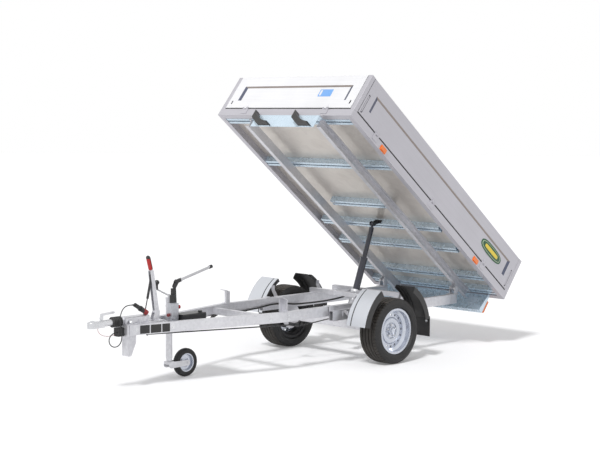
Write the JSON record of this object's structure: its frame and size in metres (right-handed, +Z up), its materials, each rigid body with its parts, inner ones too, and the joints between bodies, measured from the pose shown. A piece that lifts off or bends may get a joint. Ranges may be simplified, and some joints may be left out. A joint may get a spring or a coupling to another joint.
{
  "type": "dump trailer",
  "caption": "Single-axle rear-tipping trailer: drop-side bed raised by a hand-pumped telescopic cylinder, V drawbar, overrun coupling and jockey wheel.",
  "frame": {"origin": "on the ground, at the middle of the whole trailer's box, with the bed tipped as stored", "axes": "+Z up, drawbar towards -Y, tailgate towards +Y, the trailer's left side +X"},
  "size_m": [1.508, 4.0876, 2.2763],
  "materials": {
    "galv": "hot-dip galvanised",
    "aluminium": "satin anodised",
    "floor": "galvanised sheet",
    "black_steel": "black paint",
    "black_plastic": "moulded",
    "rubber": "matt",
    "lamp_red": "lens",
    "lamp_orange": "lens",
    "tyre": "tread rubber",
    "wheel_steel": "silver paint"
  },
  "bodies": {
    "chassis": {"drawbar_beams": "galv", "drawbar_crossbar": "galv", "pump_plate": "galv", "side_members": "galv", "chassis_pivots": "galv", "chassis_cross_members": "galv", "ram_bearers": "galv", "support_posts": "galv", "overrun_housing": "galv", "support_leg": "galv", "axle": "galv", "guard_stays": "galv", "handbrake_lever": "galv", "jockey_clamp": "galv", "coupling_head": "galv", "pump_body": "black_steel", "pump_lever": "black_steel", "pump_reservoir": "black_steel", "brake_spring": "black_steel", "coupling_handle": "black_steel", "brake_rod": "black_steel", "breakaway_cable": "black_steel", "mudguards_front": "black_plastic", "mudguards_rear": "black_plastic", "coupling_bellows": "rubber", "mud_flaps": "rubber", "handbrake_grip": "rubber", "lead": "rubber", "lead_plug": "rubber"},
    "bed": {"bed_rails": "aluminium", "bed_floor": "floor", "bed_cross_members": "galv", "bed_main_beams": "galv", "bed_pivot_ears": "galv", "corner_posts": "aluminium", "board_hinges": "aluminium", "lamp_bar": "galv", "tail_lamps": "lamp_red", "side_markers": "lamp_orange", "wheel_chocks": "black_plastic", "chock_plate": "galv", "ram_bracket": "black_steel"},
    "left_board": {"board_left": "aluminium"},
    "right_board": {"board_right": "aluminium"},
    "front_board": {"board_front": "aluminium"},
    "rear_board": {"tailgate": "aluminium"},
    "barrel": {"ram_barrel": "black_steel"},
    "stage_1": {"ram_stage_1": "black_steel"},
    "stage_2": {"ram_stage_2": "black_steel"},
    "left_wheel": {"tyre_left": "tyre", "rim_left": "wheel_steel", "hub_left": "wheel_steel"},
    "right_wheel": {"tyre_right": "tyre", "rim_right": "wheel_steel", "hub_right": "wheel_steel"},
    "jockey_leg": {"jockey_tube": "galv", "jockey_crank": "galv"},
    "jockey_caster": {"jockey_fork": "galv"},
    "jockey_wheel": {"jockey_tyre": "tyre", "jockey_rim": "wheel_steel"}
  },
  "joints": [
    {"name": "bed_tip", "type": "hinge", "parent": "chassis", "child": "bed", "pos_m": [0, 1.5321, 0.495], "axis": [-1, 0, 0], "range_deg": [-38.5, 0]},
    {"name": "left_board_drop", "type": "hinge", "parent": "bed", "child": "left_board", "pos_m": [0.748, 0.86105, 1.24089], "axis": [0, 0.7826, -0.6225], "range_deg": [0, 180]},
    {"name": "right_board_drop", "type": "hinge", "parent": "bed", "child": "right_board", "pos_m": [-0.748, 0.86105, 1.24089], "axis": [0, -0.7826, 0.6225], "range_deg": [0, 180]},
    {"name": "front_board_drop", "type": "hinge", "parent": "bed", "child": "front_board", "pos_m": [0, -0.12621, 2.02619], "axis": [1, 0, 0], "range_deg": [0, 142]},
    {"name": "tailgate_drop", "type": "hinge", "parent": "bed", "child": "rear_board", "pos_m": [0, 1.84831, 0.45559], "axis": [-1, 0, 0], "range_deg": [0, 180]},
    {"name": "barrel_swing", "type": "hinge", "parent": "chassis", "child": "barrel", "pos_m": [0, 0.7101, 0.468], "axis": [-1, 0, 0], "range_deg": [-19.97, 0]},
    {"name": "stage_1_slide", "type": "slide", "parent": "barrel", "child": "stage_1", "axis": [0, 0.3512, 0.9363], "range_m": [-0.2705, 0]},
    {"name": "stage_2_slide", "type": "slide", "parent": "stage_1", "child": "stage_2", "axis": [0, 0.3512, 0.9363], "range_m": [-0.26703, 0]},
    {"name": "left_wheel_spin", "type": "hinge", "parent": "chassis", "child": "left_wheel", "pos_m": [0.578, 0.4851, 0.2625], "axis": [1, 0, 0], "continuous": true},
    {"name": "right_wheel_spin", "type": "hinge", "parent": "chassis", "child": "right_wheel", "pos_m": [-0.578, 0.4851, 0.2625], "axis": [1, 0, 0], "continuous": true},
    {"name": "jockey_raise", "type": "slide", "parent": "chassis", "child": "jockey_leg", "axis": [0, 0, 1], "range_m": [0, 0.18]},
    {"name": "jockey_swivel", "type": "hinge", "parent": "jockey_leg", "child": "jockey_caster", "pos_m": [-0.10768, -1.2189, 0.14], "axis": [0, 0, 1], "continuous": true},
    {"name": "jockey_spin", "type": "hinge", "parent": "jockey_caster", "child": "jockey_wheel", "pos_m": [-0.10768, -1.0619, 0.107], "axis": [1, 0, 0], "continuous": true}
  ],
  "couplings": [
    {"joint": "barrel_swing", "follows": "bed_tip", "ratio": 0.51842},
    {"joint": "stage_1_slide", "follows": "bed_tip", "m_per_rad": 0.40181},
    {"joint": "stage_2_slide", "follows": "bed_tip", "m_per_rad": 0.39665}
  ]
}
